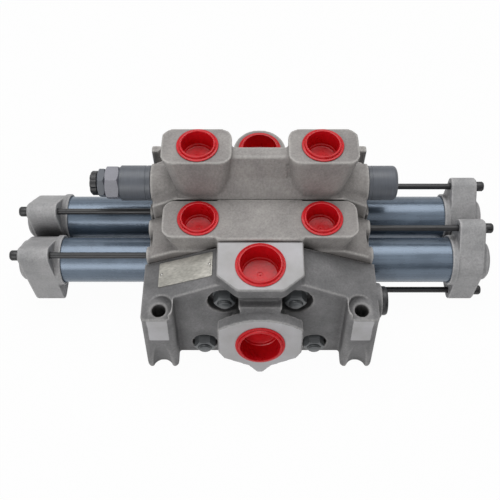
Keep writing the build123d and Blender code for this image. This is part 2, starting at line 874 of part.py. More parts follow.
def joint_seals(y, inward):
    """Rings that seal the galleries at one joint between two sections."""
    seals = []
    for x, z in gallery_centres():
        end_y = y + inward * 2 * (seal_section - seat_gap)
        ring = cylinder_y(y, end_y, x, z, seal_radius + seal_section)
        seals.append(ring - cylinder_y(y, end_y, x, z, seal_radius - seal_section))
    return seals


def port_plug(port):
    """Push-in cup plug: flange at the origin's level, stem below, open upwards."""
    outer = port["flange"]
    inner = outer - plug_rim
    floor_z = -port["depth"] + seat_gap
    profile = Plane.XZ * outline([
        (0, floor_z), (port["stem"] - plug_tip, floor_z), (port["stem"], floor_z + plug_tip_rise),
        (port["stem"], 0), (outer, 0), (outer, plug_edge),
        (outer - plug_slope, plug_flange_thickness), (inner, plug_flange_thickness),
        (inner - plug_draft, floor_z + plug_floor), (0, floor_z + plug_floor),
    ])
    return revolve(profile, Axis.Z)


def load_check(row_y):
    """Cup poppet of a load check, seated at the top of its bore."""
    top = check_bore_top - seat_gap
    poppet = cylinder_z(top - check_length, top, 0, row_y, check_radius)
    nose = Cone(check_seat_radius - slide_gap, check_seat_radius - check_nose, check_nose)
    poppet += Pos(0, row_y, top + check_nose / 2) * nose
    return poppet - cylinder_z(top - check_length, top - check_length + check_cup_depth, 0,
                               row_y, check_cup_radius)


def load_check_spring(row_y):
    """Spring between a load check and the plug under it."""
    plug_top = body_base + check_plug_height
    seat_z = check_bore_top - seat_gap - check_length + check_cup_depth
    coil = spring(check_spring_radius, check_spring_wire, seat_z - plug_top, check_spring_turns)
    return Pos(0, row_y, plug_top) * Rot(0, -90, 0) * coil


def load_check_plugs():
    """Flush plugs under both load checks."""
    plugs = []
    for row_y in rows.values():
        top = body_base + check_plug_height
        plug = cylinder_z(body_base, top, 0, row_y, check_plug_radius)
        plugs.append(plug - cylinder_z(body_base, body_base + check_key_depth, 0, row_y, check_key_radius))
    return plugs


def relief_body():
    """Relief cartridge: screwed stem, round head and a hexagon, bored for poppet and spring."""
    mouth_x = -side_valve_x
    head_x = mouth_x - cartridge_head_length
    end_x = head_x - hex_length
    stem_x = mouth_x + cartridge_stem_length
    body = cylinder_x(mouth_x, stem_x, row_pitch, side_valve_z, cartridge_stem_radius)
    body += cylinder_x(head_x, mouth_x, row_pitch, side_valve_z, cartridge_radius)
    body += hexagon_x(end_x, head_x, row_pitch, side_valve_z, hex_across_flats)
    body -= cylinder_x(end_x + relief_wall, stem_x - relief_wall, row_pitch, side_valve_z,
                       cartridge_bore_radius)
    body -= cylinder_x(stem_x - relief_wall, stem_x, row_pitch, side_valve_z, relief_seat_radius)
    return body - cylinder_x(end_x, end_x + relief_wall, row_pitch, side_valve_z,
                             adjuster_radius + thread_gap)


def relief_seat_x():
    """Where the relief poppet's shoulder rests."""
    return -side_valve_x + cartridge_stem_length - relief_wall - seat_gap


def relief_poppet():
    """Relief poppet with a tapered nose in its seat."""
    seat_x = relief_seat_x()
    body = cylinder_x(seat_x - relief_poppet_length, seat_x, row_pitch, side_valve_z,
                      relief_poppet_radius)
    nose = Cone(relief_seat_radius - slide_gap, relief_seat_radius - relief_nose, relief_nose,
                rotation=(0, 90, 0))
    return body + Pos(seat_x + relief_nose / 2, row_pitch, side_valve_z) * nose


def relief_spring():
    """Spring between the relief poppet and the adjusting screw's plate."""
    coil = spring(relief_spring_radius, relief_spring_wire, relief_spring_length, relief_spring_turns)
    start_x = relief_seat_x() - relief_poppet_length - relief_spring_length
    return Pos(start_x, row_pitch, side_valve_z) * coil


def relief_adjuster():
    """Adjusting screw with its spring plate inside and a round black head outside."""
    plate_x = relief_seat_x() - relief_poppet_length - relief_spring_length
    hex_end = -side_valve_x - cartridge_head_length - hex_length
    nut_end = hex_end - lock_nut_height
    screw = cylinder_x(plate_x - adjuster_plate, plate_x, row_pitch, side_valve_z,
                       adjuster_plate_radius)
    screw += cylinder_x(nut_end, plate_x, row_pitch, side_valve_z, adjuster_radius)
    head = cylinder_x(nut_end - knob_length, nut_end, row_pitch, side_valve_z, knob_radius)
    key = hexagon_x(nut_end - knob_length, nut_end - knob_length / 2, row_pitch, side_valve_z,
                    knob_key_across_flats)
    return screw + (head - key)


def relief_lock_nut():
    """Lock nut between the cartridge and the adjusting screw's head."""
    hex_end = -side_valve_x - cartridge_head_length - hex_length
    nut = hexagon_x(hex_end - lock_nut_height, hex_end, row_pitch, side_valve_z,
                    lock_nut_across_flats)
    return nut - cylinder_x(hex_end - lock_nut_height, hex_end, row_pitch, side_valve_z,
                            adjuster_radius + thread_gap)


def makeup_cap():
    """Cap of the make-up check: screwed stem bored for the poppet, round head outside."""
    mouth_x = side_valve_x
    stem_x = mouth_x - cartridge_stem_length
    head = cylinder_x(mouth_x, mouth_x + makeup_length, row_pitch, side_valve_z, makeup_radius)
    head = fillet(head.edges().sort_by(Axis.X)[-1], makeup_edge_radius)
    cap = head + cylinder_x(stem_x, mouth_x, row_pitch, side_valve_z, cartridge_stem_radius)
    cap -= cylinder_x(stem_x + relief_wall, mouth_x + makeup_length / 2, row_pitch,
                      side_valve_z, makeup_bore_radius)
    return cap - cylinder_x(stem_x, stem_x + relief_wall, row_pitch, side_valve_z,
                            relief_seat_radius)


def makeup_seat_x():
    """Where the make-up poppet rests."""
    return side_valve_x - cartridge_stem_length + relief_wall + seat_gap


def makeup_poppet():
    """Cup poppet of the make-up check."""
    seat_x = makeup_seat_x()
    poppet = cylinder_x(seat_x, seat_x + makeup_poppet_length, row_pitch, side_valve_z,
                        makeup_poppet_radius)
    nose = Cone(relief_seat_radius - relief_nose, relief_seat_radius - slide_gap, relief_nose,
                rotation=(0, 90, 0))
    poppet += Pos(seat_x - relief_nose / 2, row_pitch, side_valve_z) * nose
    return poppet - cylinder_x(seat_x + relief_wall, seat_x + makeup_poppet_length, row_pitch,
                               side_valve_z, makeup_poppet_radius - makeup_poppet_wall)


def makeup_spring():
    """Spring inside the make-up poppet, against the floor of the cap."""
    start_x = makeup_seat_x() + relief_wall
    end_x = side_valve_x + makeup_length / 2
    coil = spring(makeup_spring_radius, makeup_spring_wire, end_x - start_x, makeup_spring_turns)
    return Pos(start_x, row_pitch, side_valve_z) * coil


def on_left_shoulder(piece, along, y):
    """Lay a flat piece on the left shoulder, a distance outward along the slope."""
    angle = radians(shoulder_angle)
    x = -(plate_inner_x + along * cos(angle))
    return Pos(x, y, shoulder_height(x)) * Rot(0, -shoulder_angle, 0) * piece


def nameplate():
    """Blank plate on the left shoulder with a hole for a pin near each end."""
    sheet = extrude(RectangleRounded(plate_length, plate_width, plate_corner),
                    amount=plate_thickness)
    for end in (-1, 1):
        hole = Cylinder(pin_radius / 2 + seat_gap, 4 * plate_thickness)
        sheet -= Pos(end * (plate_length / 2 - 3), 0, 0) * hole
    return on_left_shoulder(sheet, plate_length / 2, plate_rear_y - plate_width / 2)


def nameplate_pins():
    """Round-headed pins that hold the nameplate."""
    pins = []
    for along in (pin_inset, plate_length - pin_inset):
        head = Pos(0, 0, plate_thickness) * Cone(
            pin_radius, pin_radius / 2, pin_height,
            align=(Align.CENTER, Align.CENTER, Align.MIN))
        shank = Cylinder(pin_radius / 2, plate_thickness,
                         align=(Align.CENTER, Align.CENTER, Align.MIN))
        pins.append(on_left_shoulder(head + shank, along, plate_rear_y - plate_width / 2))
    return pins


def side_plug():
    """Screwed plug in the right side of the front section."""
    face_x = front_half_width + side_plug_boss
    plug = cylinder_x(face_x, face_x + side_plug_head, side_plug_y, side_plug_z,
                      side_plug_radius)
    plug += cylinder_x(face_x - side_plug_stem, face_x, side_plug_y, side_plug_z,
                       side_plug_stem_radius)
    return plug - hexagon_x(face_x, face_x + side_plug_head, side_plug_y, side_plug_z,
                            side_plug_key_across_flats)


def all_nodes():
    """Every sub-part by its node's name."""
    nodes = {
        "front_section": front_section(),
        "middle_section": middle_section(),
        "rear_section": rear_section(),
        "upper_tie_rods": tie_rods(True),
        "lower_tie_rods": tie_rods(False),
        "tie_rod_washers": tie_rod_washers(),
        "tie_rod_nuts": tie_rod_nuts(),
        "front_joint_seals": joint_seals(joint_front_y, -1),
        "rear_joint_seals": joint_seals(joint_rear_y, 1),
        "cap_bolts": cap_bolts(),
        "load_check_plugs": load_check_plugs(),
        "relief_body": relief_body(),
        "relief_poppet": relief_poppet(),
        "relief_spring": relief_spring(),
        "relief_adjuster": relief_adjuster(),
        "relief_lock_nut": relief_lock_nut(),
        "makeup_cap": makeup_cap(),
        "makeup_poppet": makeup_poppet(),
        "makeup_spring": makeup_spring(),
        "nameplate": nameplate(),
        "nameplate_pins": nameplate_pins(),
        "side_plug": side_plug(),
        "top_port_plug": Pos(0, top_port_y, top_port_z) * port_plug(large_port),
        "tilted_port_plug": tilted_plane().location * port_plug(large_port),
        "rear_port_plug": Pos(0, third_port_y, third_port_z) * port_plug(rear_port),
    }
    for row, row_y in rows.items():
        port_z = middle_port_z if row == "middle" else rear_port_z
        nodes[row + "_spool"] = spool(row_y)
        nodes[row + "_spring_seats"] = spring_seats(row_y)
        nodes[row + "_seat_screws"] = seat_screws(row_y)
        nodes[row + "_load_check"] = load_check(row_y)
        nodes[row + "_load_check_spring"] = load_check_spring(row_y)
        for side_name, side in sides.items():
            name = row + "_" + side_name
            nodes[name + "_spring"] = centring_spring(row_y, side_name)
            nodes[name + "_tube"] = spring_tube(row_y, side_name)
            nodes[name + "_cap"] = end_cap(row_y, side_name)
            nodes[name + "_port_plug"] = (
                Pos(side * work_port_x, row_y, port_z) * port_plug(work_port))
    return nodes


def main():
    """Stand the bank on its feet and write one STEP file per node."""
    os.makedirs("parts", exist_ok=True)
    stand = Pos(0, -mount_middle_y, spool_height)
    for name, shape in all_nodes().items():
        pieces = shape if isinstance(shape, list) else [shape]
        solids = [stand * solid for piece in pieces for solid in piece.solids()]
        placed = solids[0] if len(solids) == 1 else Compound(children=solids)
        placed.label = name
        export_step(placed, "parts/" + name + ".step")


main()
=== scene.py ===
# %% [markdown]
# This scene dresses a hydraulic directional control valve bank: three iron castings bolted together,
# spring tubes with end caps on both sides, and red plastic plugs in its ports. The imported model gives
# every part its place and size. What is left to Blender is what a drawing doesn't hold: the soft
# edges of sand castings, the paint, the turned and pressed small parts, and the light.

# %% Load the frame
import json
from math import atan2, cos, hypot, pi, radians, sin, tan

import bmesh
import bpy
from mathutils import Matrix, Vector


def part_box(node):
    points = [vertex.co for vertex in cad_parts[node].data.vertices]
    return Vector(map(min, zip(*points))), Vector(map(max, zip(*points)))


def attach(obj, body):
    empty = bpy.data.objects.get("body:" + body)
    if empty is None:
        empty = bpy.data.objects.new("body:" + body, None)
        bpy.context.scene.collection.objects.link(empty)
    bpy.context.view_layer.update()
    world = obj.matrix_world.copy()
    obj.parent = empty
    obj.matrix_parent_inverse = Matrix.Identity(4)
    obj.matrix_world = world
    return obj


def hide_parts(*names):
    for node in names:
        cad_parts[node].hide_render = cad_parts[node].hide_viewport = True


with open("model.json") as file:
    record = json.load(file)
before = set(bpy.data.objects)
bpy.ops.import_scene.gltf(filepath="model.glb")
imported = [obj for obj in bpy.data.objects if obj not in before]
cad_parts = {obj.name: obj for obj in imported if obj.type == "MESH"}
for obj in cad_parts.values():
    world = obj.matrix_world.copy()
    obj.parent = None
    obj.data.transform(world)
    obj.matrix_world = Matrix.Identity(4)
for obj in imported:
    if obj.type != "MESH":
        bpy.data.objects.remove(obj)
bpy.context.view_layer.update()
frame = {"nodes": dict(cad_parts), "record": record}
record = frame["record"]
body_of = {node: body for body, nodes in record["behaviour"]["bodies"].items() for node in nodes}
slot_of = {row["node"]: row["material_slot"] for row in record["subparts"]}
print("pieces in the frame:", len(frame["nodes"]))

# %% [markdown]
# The camera comes first, because every later choice is judged through it. The photograph looks down
# on the bank from the front at a steep angle. The lens and place below were fitted to the ellipses of
# the port plugs, so a plug in the render lands on the same plug in the photograph.

# %% Camera
MM = 0.001
CAMERA_TARGET = Vector((-9.4, -33.9, 105.9)) * MM
CAMERA_ELEVATION = radians(57.2)
CAMERA_DISTANCE = 648.15 * MM
FOCAL_PIXELS = 700
IMAGE_PIXELS = 500
SENSOR_MM = 36

view_direction = Vector((0, cos(CAMERA_ELEVATION), -sin(CAMERA_ELEVATION)))
camera_data = bpy.data.cameras.new("camera")
camera_data.sensor_width = SENSOR_MM
camera_data.lens = SENSOR_MM * FOCAL_PIXELS / IMAGE_PIXELS
camera = bpy.data.objects.new("camera", camera_data)
camera.location = CAMERA_TARGET - CAMERA_DISTANCE * view_direction
camera.rotation_euler = view_direction.to_track_quat("-Z", "Y").to_euler()
bpy.context.scene.collection.objects.link(camera)
bpy.context.scene.camera = camera
print("camera at", tuple(round(v, 3) for v in camera.location))

# %% [markdown]
# A node material is a small graph. One function adds a node with its settings and wires its inputs,
# and one turns an sRGB hex colour, as a colour picker gives it, into the linear values that Blender
# mixes with. A pattern's scale is one over its real size in metres, so each scale below is written
# as a size in millimetres.

# %% Colour and node helpers
def linear(hex_colour):
    """Linear RGBA from an sRGB hex colour."""
    channels = [int(hex_colour[i:i + 2], 16) / 255 for i in (1, 3, 5)]
    return [c / 12.92 if c <= 0.04045 else ((c + 0.055) / 1.055) ** 2.4 for c in channels] + [1]


def add_node(tree, kind, inputs=None, **settings):
    """Add a node, set its properties, and set or link its inputs."""
    node = tree.nodes.new(kind)
    for name, value in settings.items():
        setattr(node, name, value)
    for name, value in (inputs or {}).items():
        if isinstance(value, bpy.types.NodeSocket):
            tree.links.new(value, node.inputs[name])
        else:
            node.inputs[name].default_value = value
    return node


def new_material(name):
    """Empty node material and its tree."""
    material = bpy.data.materials.new(name)
    material.use_nodes = True
    material.node_tree.nodes.clear()
    return material, material.node_tree


def grains_of(size_mm):
    """Scale of a pattern whose grains are this many millimetres across."""
    return 1 / (size_mm * MM)


# %% [markdown]
# Sand-cast iron under sprayed enamel is rough at two scales: the sand leaves grains of about half a
# millimetre, and the paint runs a little thick and thin over them in clouds of a few centimetres.
# Convex edges are painted lighter, as the wear of fingers and hose work and as a painted highlight
# along the rims. Hollows are painted darker, and an Ambient Occlusion node adds painted shade in
# crevices and between parts. Edges and hollows could be painted by hand on an image, but the Geometry
# node's Pointiness already knows which places are edges and which are hollows, and it needs only the
# fine even mesh that the castings get.

# %% Cast and painted iron
# Pointiness range painted lighter on convex edges: wear plus a painted highlight along the rims.
EDGE_WEAR_AND_HIGHLIGHT = (0.506, 0.565)
# Pointiness range painted darker in hollows.
HOLLOW_DARKENING = (0.40, 0.49)
FACE_TOLERANCE = 0.5 * MM
# Reach of the Ambient Occlusion node that paints shade into crevices and between parts.
PAINTED_SHADE_REACH = 14 * MM


def on_machined_face(tree, place, faces):
    """1 on any of the flat faces given by their normal and one point on them, elsewhere 0."""
    normal = add_node(tree, "ShaderNodeTexCoord").outputs["Normal"]
    found = 0.0
    for face_normal, face_point in faces:
        level = add_node(tree, "ShaderNodeVectorMath", {0: place, 1: face_normal},
                         operation="DOT_PRODUCT")
        height = face_normal.dot(face_point)
        near = add_node(tree, "ShaderNodeMath", {
            0: level.outputs["Value"], 1: height, 2: FACE_TOLERANCE}, operation="COMPARE")
        facing = add_node(tree, "ShaderNodeVectorMath", {0: normal, 1: face_normal},
                          operation="DOT_PRODUCT")
        flat = add_node(tree, "ShaderNodeMath", {0: facing.outputs["Value"], 1: 0.93},
                        operation="GREATER_THAN")
        here = add_node(tree, "ShaderNodeMath", {
            0: near.outputs["Value"], 1: flat.outputs["Value"]}, operation="MULTIPLY")
        found = add_node(tree, "ShaderNodeMath", {
            0: here.outputs["Value"], 1: found}, operation="MAXIMUM").outputs["Value"]
    return found


def cast_enamel(name, light, dark, edge_wear_and_highlight_colour, hollow_and_shade_colour, machined=("#B0AFAF", "#C2C1C4"), faces=()):
    """Grey enamel on sand-cast iron: matt and grainy, lighter on its edges as wear and as a painted
    highlight, darker in its hollows, and darker in crevices by painted shade.
    """
    material, tree = new_material(name)
    place = add_node(tree, "ShaderNodeTexCoord").outputs["Object"]
    grain = add_node(tree, "ShaderNodeTexNoise", {
        "Vector": place, "Scale": grains_of(2.1), "Detail": 5, "Roughness": 0.72})
    cloud = add_node(tree, "ShaderNodeTexNoise", {
        "Vector": place, "Scale": grains_of(34), "Detail": 6, "Roughness": 0.62})
    tone = add_node(tree, "ShaderNodeMapRange", {
        "Value": cloud.outputs["Fac"], "From Min": 0.35, "From Max": 0.65})
    base = add_node(tree, "ShaderNodeMix", {
        "Factor": tone.outputs["Result"], "A": linear(dark), "B": linear(light)},
        data_type="RGBA")
    point = add_node(tree, "ShaderNodeNewGeometry").outputs["Pointiness"]
    # Hollows painted darker from Pointiness.
    hollow = add_node(tree, "ShaderNodeMapRange", {
        "Value": point, "From Min": HOLLOW_DARKENING[0], "From Max": HOLLOW_DARKENING[1],
        "To Min": 0.8, "To Max": 0.0})
    # Ambient occlusion painted into the colour as shade, in crevices and between parts.
    depth = add_node(tree, "ShaderNodeAmbientOcclusion", {"Distance": PAINTED_SHADE_REACH}, samples=6)
    painted_occlusion_shade = add_node(tree, "ShaderNodeMapRange", {
        "Value": depth.outputs["AO"], "From Min": 0.3, "From Max": 0.95,
        "To Min": 0.85, "To Max": 0.0})
    hollow_darkening_and_shade = add_node(tree, "ShaderNodeMath", {
        0: hollow.outputs["Result"], 1: painted_occlusion_shade.outputs["Result"]}, operation="MAXIMUM")
    darkened_and_shaded = add_node(tree, "ShaderNodeMix", {
        "Factor": hollow_darkening_and_shade.outputs["Value"], "A": base.outputs["Result"], "B": linear(hollow_and_shade_colour)},
        data_type="RGBA")
    # Convex edges painted lighter: wear plus a painted highlight.
    edge = add_node(tree, "ShaderNodeMapRange", {
        "Value": point, "From Min": EDGE_WEAR_AND_HIGHLIGHT[0], "From Max": EDGE_WEAR_AND_HIGHLIGHT[1],
        "To Min": 0.0, "To Max": 0.9})
    colour = add_node(tree, "ShaderNodeMix", {
        "Factor": edge.outputs["Result"], "A": darkened_and_shaded.outputs["Result"], "B": linear(edge_wear_and_highlight_colour)},
        data_type="RGBA")
    speck = add_node(tree, "ShaderNodeMapRange", {
        "Value": grain.outputs["Fac"], "From Min": 0.3, "From Max": 0.7,
        "To Min": 0.76, "To Max": 1.18})
    speckled = add_node(tree, "ShaderNodeMix", {
        "Factor": 1.0, "A": colour.outputs["Result"], "B": speck.outputs["Result"]},
        data_type="RGBA", blend_type="MULTIPLY")
    milled = on_machined_face(tree, place, faces)
    bare = add_node(tree, "ShaderNodeMix", {
        "Factor": tone.outputs["Result"], "A": linear(machined[0]), "B": linear(machined[1])},
        data_type="RGBA")
    cover = add_node(tree, "ShaderNodeMix", {
        "Factor": milled, "A": speckled.outputs["Result"], "B": bare.outputs["Result"]},
        data_type="RGBA")
    gloss = add_node(tree, "ShaderNodeMapRange", {
        "Value": grain.outputs["Fac"], "To Min": 0.45, "To Max": 0.75})
    strength = add_node(tree, "ShaderNodeMapRange", {
        "Value": milled, "To Min": 0.95, "To Max": 0.25})
    bump = add_node(tree, "ShaderNodeBump", {
        "Height": grain.outputs["Fac"], "Strength": strength.outputs["Result"],
        "Distance": 0.5 * MM})
    shader = add_node(tree, "ShaderNodeBsdfPrincipled", {
        "Base Color": cover.outputs["Result"], "Roughness": gloss.outputs["Result"],
        "Normal": bump.outputs["Normal"]})
    add_node(tree, "ShaderNodeOutputMaterial", {"Surface": shader.outputs["BSDF"]})
    return material


BANK_ORIGIN = Vector((0, -6.5, 45))
TILTED_PORT_ANGLE = radians(73)
PAD_SLOPE = radians(12.4)
machined_faces = [
    (Vector((0, 0, 1)), (Vector((0, 0, 68.5)) + BANK_ORIGIN) * MM),
    (Vector((0, -sin(TILTED_PORT_ANGLE), cos(TILTED_PORT_ANGLE))),
     (Vector((0, -103.3, 17.4)) + BANK_ORIGIN) * MM),
    (Vector((0, -cos(PAD_SLOPE), sin(PAD_SLOPE))), (Vector((0, -86.2, 20)) + BANK_ORIGIN) * MM),
    (Vector((0, -1, 0)), (Vector((0, -86.2, 20)) + BANK_ORIGIN) * MM),
]
# Each enamel's third colour goes on its edges as wear and painted highlight, its fourth in hollows and
# crevices as darkening and painted shade.
section_enamel = cast_enamel("grey_enamel_on_cast_iron", "#A39F9C", "#8B8785", "#D2CFCB", "#3F3C3A")
front_enamel = cast_enamel("dark_grey_enamel_on_cast_iron", "#848384", "#676768", "#BCBAB9",
                           "#343333", faces=machined_faces)
cap_enamel = cast_enamel("light_grey_enamel_on_cap_casting", "#B4B3B4", "#9C9C9D", "#D2D1D1",
                         "#454447")

# %% [markdown]
# The other finishes share one recipe: a base colour that drifts a little between two tones, a gloss
# that drifts with it, and a fine relief. Only the direction of the relief tells them apart. Turned
# steel has rings round its axis, brushed sheet has long streaks, and sprayed or moulded skins have
# none. A Mapping node stretches the noise to get that direction: a small scale along an axis draws
# the grains out along it.

# %% Smooth finishes
def drifting_finish(name, tones, roughness, grain_mm, stretch=(1, 1, 1), turn=0.0, relief_mm=0.02,
                    **shader_inputs):
    """Finish whose colour, gloss and fine relief drift with one stretched noise."""
    material, tree = new_material(name)
    place = add_node(tree, "ShaderNodeTexCoord").outputs["Object"]
    lay = add_node(tree, "ShaderNodeMapping", {
        "Vector": place, "Rotation": (0, turn, 0), "Scale": stretch})
    grain = add_node(tree, "ShaderNodeTexNoise", {
        "Vector": lay.outputs["Vector"], "Scale": grains_of(grain_mm), "Detail": 4})
    cloud = add_node(tree, "ShaderNodeTexNoise", {
        "Vector": place, "Scale": grains_of(22), "Detail": 4})
    both = add_node(tree, "ShaderNodeMath", {
        0: grain.outputs["Fac"], 1: cloud.outputs["Fac"]}, operation="ADD")
    drift = add_node(tree, "ShaderNodeMapRange", {
        "Value": both.outputs["Value"], "From Min": 0.75, "From Max": 1.25})
    colour = add_node(tree, "ShaderNodeMix", {
        "Factor": drift.outputs["Result"], "A": linear(tones[0]), "B": linear(tones[1])},
        data_type="RGBA")
    gloss = add_node(tree, "ShaderNodeMapRange", {
        "Value": drift.outputs["Result"], "To Min": roughness[0], "To Max": roughness[1]})
    bump = add_node(tree, "ShaderNodeBump", {
        "Height": grain.outputs["Fac"], "Strength": 0.5, "Distance": relief_mm * MM})
    shader = add_node(tree, "ShaderNodeBsdfPrincipled", {
        "Base Color": colour.outputs["Result"], "Roughness": gloss.outputs["Result"],
        "Normal": bump.outputs["Normal"], **shader_inputs})
    add_node(tree, "ShaderNodeOutputMaterial", {"Surface": shader.outputs["BSDF"]})
    return material


ALONG_X = (0.04, 1, 1)
ROUND_X = (1, 0.06, 0.06)
ROUND_Y = (0.06, 1, 0.06)

tube_enamel = drifting_finish("blue_passivated_zinc_on_steel_tube", ("#5F6C7B", "#6C7A8A"),
                              (0.24, 0.32), 2.5, ALONG_X, relief_mm=0.02, Metallic=0.35)
cartridge_steel = drifting_finish("phosphated_turned_steel", ("#53575D", "#5F636B"),
                                  (0.34, 0.5), 1.0, ROUND_X)
rod_steel = drifting_finish("zinc_phosphated_steel", ("#55585A", "#6E7173"), (0.35, 0.5), 1.0,
                            ROUND_Y)
black_steel = drifting_finish("black_oxide_steel", ("#0E0E10", "#1D1D20"), (0.3, 0.45), 0.9)
ground_steel = drifting_finish("ground_steel", ("#A9A9AC", "#C0C0C4"), (0.18, 0.3), 0.6,
                               ROUND_X, Metallic=1.0)
zinc_steel = drifting_finish("zinc_plated_steel", ("#8B8A88", "#A9A7A2"), (0.28, 0.45), 0.9,
                             Metallic=1.0)
plated_steel = drifting_finish("zinc_nickel_plated_steel", ("#7C7C84", "#94949D"), (0.3, 0.42),
                               0.9)
seal_rubber = drifting_finish("nitrile_rubber", ("#0A0A0A", "#141414"), (0.55, 0.7), 0.5)

# %% [markdown]
# The plugs are injection moulded polyethylene, a soft waxy plastic. Light goes a few millimetres into
# it and comes back red, so the hollow glows where a paint would only be dark. A little subsurface
# scattering gives that, with a faint orange-peel skin from the mould.

# %% Moulded plastic and blank plate
red_polyethylene = drifting_finish(
    "red_polyethylene", ("#C00D16", "#D41824"), (0.26, 0.36), 3.0, relief_mm=0.03,
    **{"Subsurface Weight": 0.15, "Subsurface Radius": (1.0, 0.12, 0.08),
       "Subsurface Scale": 1.2 * MM, "IOR": 1.51, "Specular IOR Level": 0.32})
SHOULDER_SLOPE = radians(23)
plate_aluminium = drifting_finish(
    "brushed_blank_aluminium", ("#9B9992", "#C2BFB7"), (0.34, 0.5), 1.6, (0.2, 1, 1),
    turn=SHOULDER_SLOPE, relief_mm=0.06, Metallic=0.5)

finishes = {
    "casting_paint": section_enamel, "cap_paint": cap_enamel, "tube_paint": tube_enamel,
    "dark_steel": cartridge_steel, "black_bolt": black_steel, "bright_steel": ground_steel,
    "red_plastic": red_polyethylene, "nitrile": seal_rubber, "plate_metal": plate_aluminium,
}
for node, node_object in frame["nodes"].items():
    node_object.data.materials.clear()
    node_object.data.materials.append(finishes[slot_of[node]])
print("finishes:", len(finishes))

# %% [markdown]
# Every piece below takes the place of a node of the frame. One function does the paperwork: it turns
# a bmesh into an object, smooths its faces except across sharp edges, hides the node that the piece
# stands for and parents the piece to the empty of the body it moves with.

# %% Piece helpers
SHARP_EDGE = radians(34)
MERGE = 0.001 * MM


def stand_for(node, bm, material, sharp=SHARP_EDGE):
    """Make a bmesh the piece that stands for a node of the frame."""
    bmesh.ops.remove_doubles(bm, verts=bm.verts, dist=MERGE)
    mesh = bpy.data.meshes.new(node + "_look")
    bm.to_mesh(mesh)
    bm.free()
    return place_piece(node, mesh, material, sharp)


def place_piece(node, mesh, material, sharp=SHARP_EDGE):
    """Link a mesh as the piece that stands for a node, riding on the node's body."""
    mesh.materials.clear()
    mesh.materials.append(material)
    mesh.polygons.foreach_set("use_smooth", [True] * len(mesh.polygons))
    mesh.set_sharp_from_angle(angle=sharp)
    piece = bpy.data.objects.new(node + "_look", mesh)
    bpy.context.scene.collection.objects.link(piece)
    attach(piece, body_of[node])
    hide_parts(node)
    print(node, "faces:", len(mesh.polygons))
    return piece


def welded_copy(node):
    """Copy of a node's mesh as a bmesh, with its loose triangles merged."""
    bm = bmesh.new()
    bm.from_mesh(frame["nodes"][node].data)
    bmesh.ops.remove_doubles(bm, verts=bm.verts, dist=MERGE)
    return bm


def separate_solids(node):
    """Lowest and highest corner of each solid of a node that holds several, in metres."""
    bm = welded_copy(node)
    left = set(bm.verts)
    boxes = []
    while left:
        group = [left.pop()]
        for vert in group:
            joined = {edge.other_vert(vert) for edge in vert.link_edges} & left
            left -= joined
            group.extend(joined)
        low = Vector([min(v.co[i] for v in group) for i in range(3)])
        high = Vector([max(v.co[i] for v in group) for i in range(3)])
        boxes.append((low, high))
    bm.free()
    return boxes


# %% [markdown]
# A sand casting has no sharp edge: the pattern is filleted so that the sand lets go, and the iron
# rounds what is left. Bevels could do it edge by edge, but on a body with this many bosses and
# pockets they collide. Here the whole casting is wrapped anew in a voxel skin, and that skin is
# smoothed a few times, which rounds every edge and fills every corner by about the same two
# millimetres. The skin would also follow the drillings inside, so hidden fillers are dropped into
# the casting first: overlapping closed shapes come out of the voxel skin as one solid.

# %% Castings wrapped in a voxel skin
def add_filler_block(bm, low, high):
    """Hidden block between two corners, in mm in the bank's frame."""
    size = Vector(high) - Vector(low)
    middle = (Vector(high) + Vector(low)) / 2 + BANK_ORIGIN
    bmesh.ops.create_cube(bm, size=1, matrix=Matrix.Translation(middle * MM)
                          @ Matrix.Diagonal((*(size * MM), 1)))


def add_filler_round(bm, x, y, z_low, z_high, radius):
    """Hidden upright round filler in a drilled passage, in mm in the bank's frame."""
    middle = Vector((x, y, (z_low + z_high) / 2)) + BANK_ORIGIN
    bmesh.ops.create_cone(bm, cap_ends=True, segments=24, radius1=radius * MM,
                          radius2=radius * MM, depth=(z_high - z_low) * MM,
                          matrix=Matrix.Translation(middle * MM))


def cast_skin(bm, voxel_mm, rounds):
    """Wrap a solid in an even voxel skin and smooth it a number of times."""
    mesh = bpy.data.meshes.new("skin")
    bm.to_mesh(mesh)
    bm.free()
    wrapped = bpy.data.objects.new("skin", mesh)
    bpy.context.scene.collection.objects.link(wrapped)
    remesh = wrapped.modifiers.new("voxels", "REMESH")
    remesh.mode = "VOXEL"
    remesh.voxel_size = voxel_mm * MM
    soften = wrapped.modifiers.new("soften", "SMOOTH")
    soften.factor = 0.5
    soften.iterations = rounds
    finished = wrapped.evaluated_get(bpy.context.evaluated_depsgraph_get())
    skin = bpy.data.meshes.new_from_object(finished)
    bpy.data.objects.remove(wrapped)
    return skin


# %% Wrap the three sections
SECTION_VOXEL = 1.15
TALL_SECTION_VOXEL = 1.3
SECTION_ROUNDS = 3
WORK_PORT_X = 58
MIDDLE_PORT_Z = 72.5
REAR_PORT_Z = 115
ROW_PITCH = 52.3
PLUG_REACH = 21

bm = welded_copy("front_section")
add_filler_block(bm, (-84, -55, -39), (84, -25, 36))
add_filler_round(bm, 0, -48.3, 30, 68.5 - PLUG_REACH - 1, 17)
place_piece("front_section", cast_skin(bm, SECTION_VOXEL, SECTION_ROUNDS), front_enamel, pi)

bm = welded_copy("middle_section")
add_filler_block(bm, (-95, -20.5, -39), (95, 20.5, 38))
for side in (-1, 1):
    add_filler_round(bm, side * WORK_PORT_X, 0, 30, MIDDLE_PORT_Z - PLUG_REACH, 13)
place_piece("middle_section", cast_skin(bm, SECTION_VOXEL, SECTION_ROUNDS), section_enamel, pi)

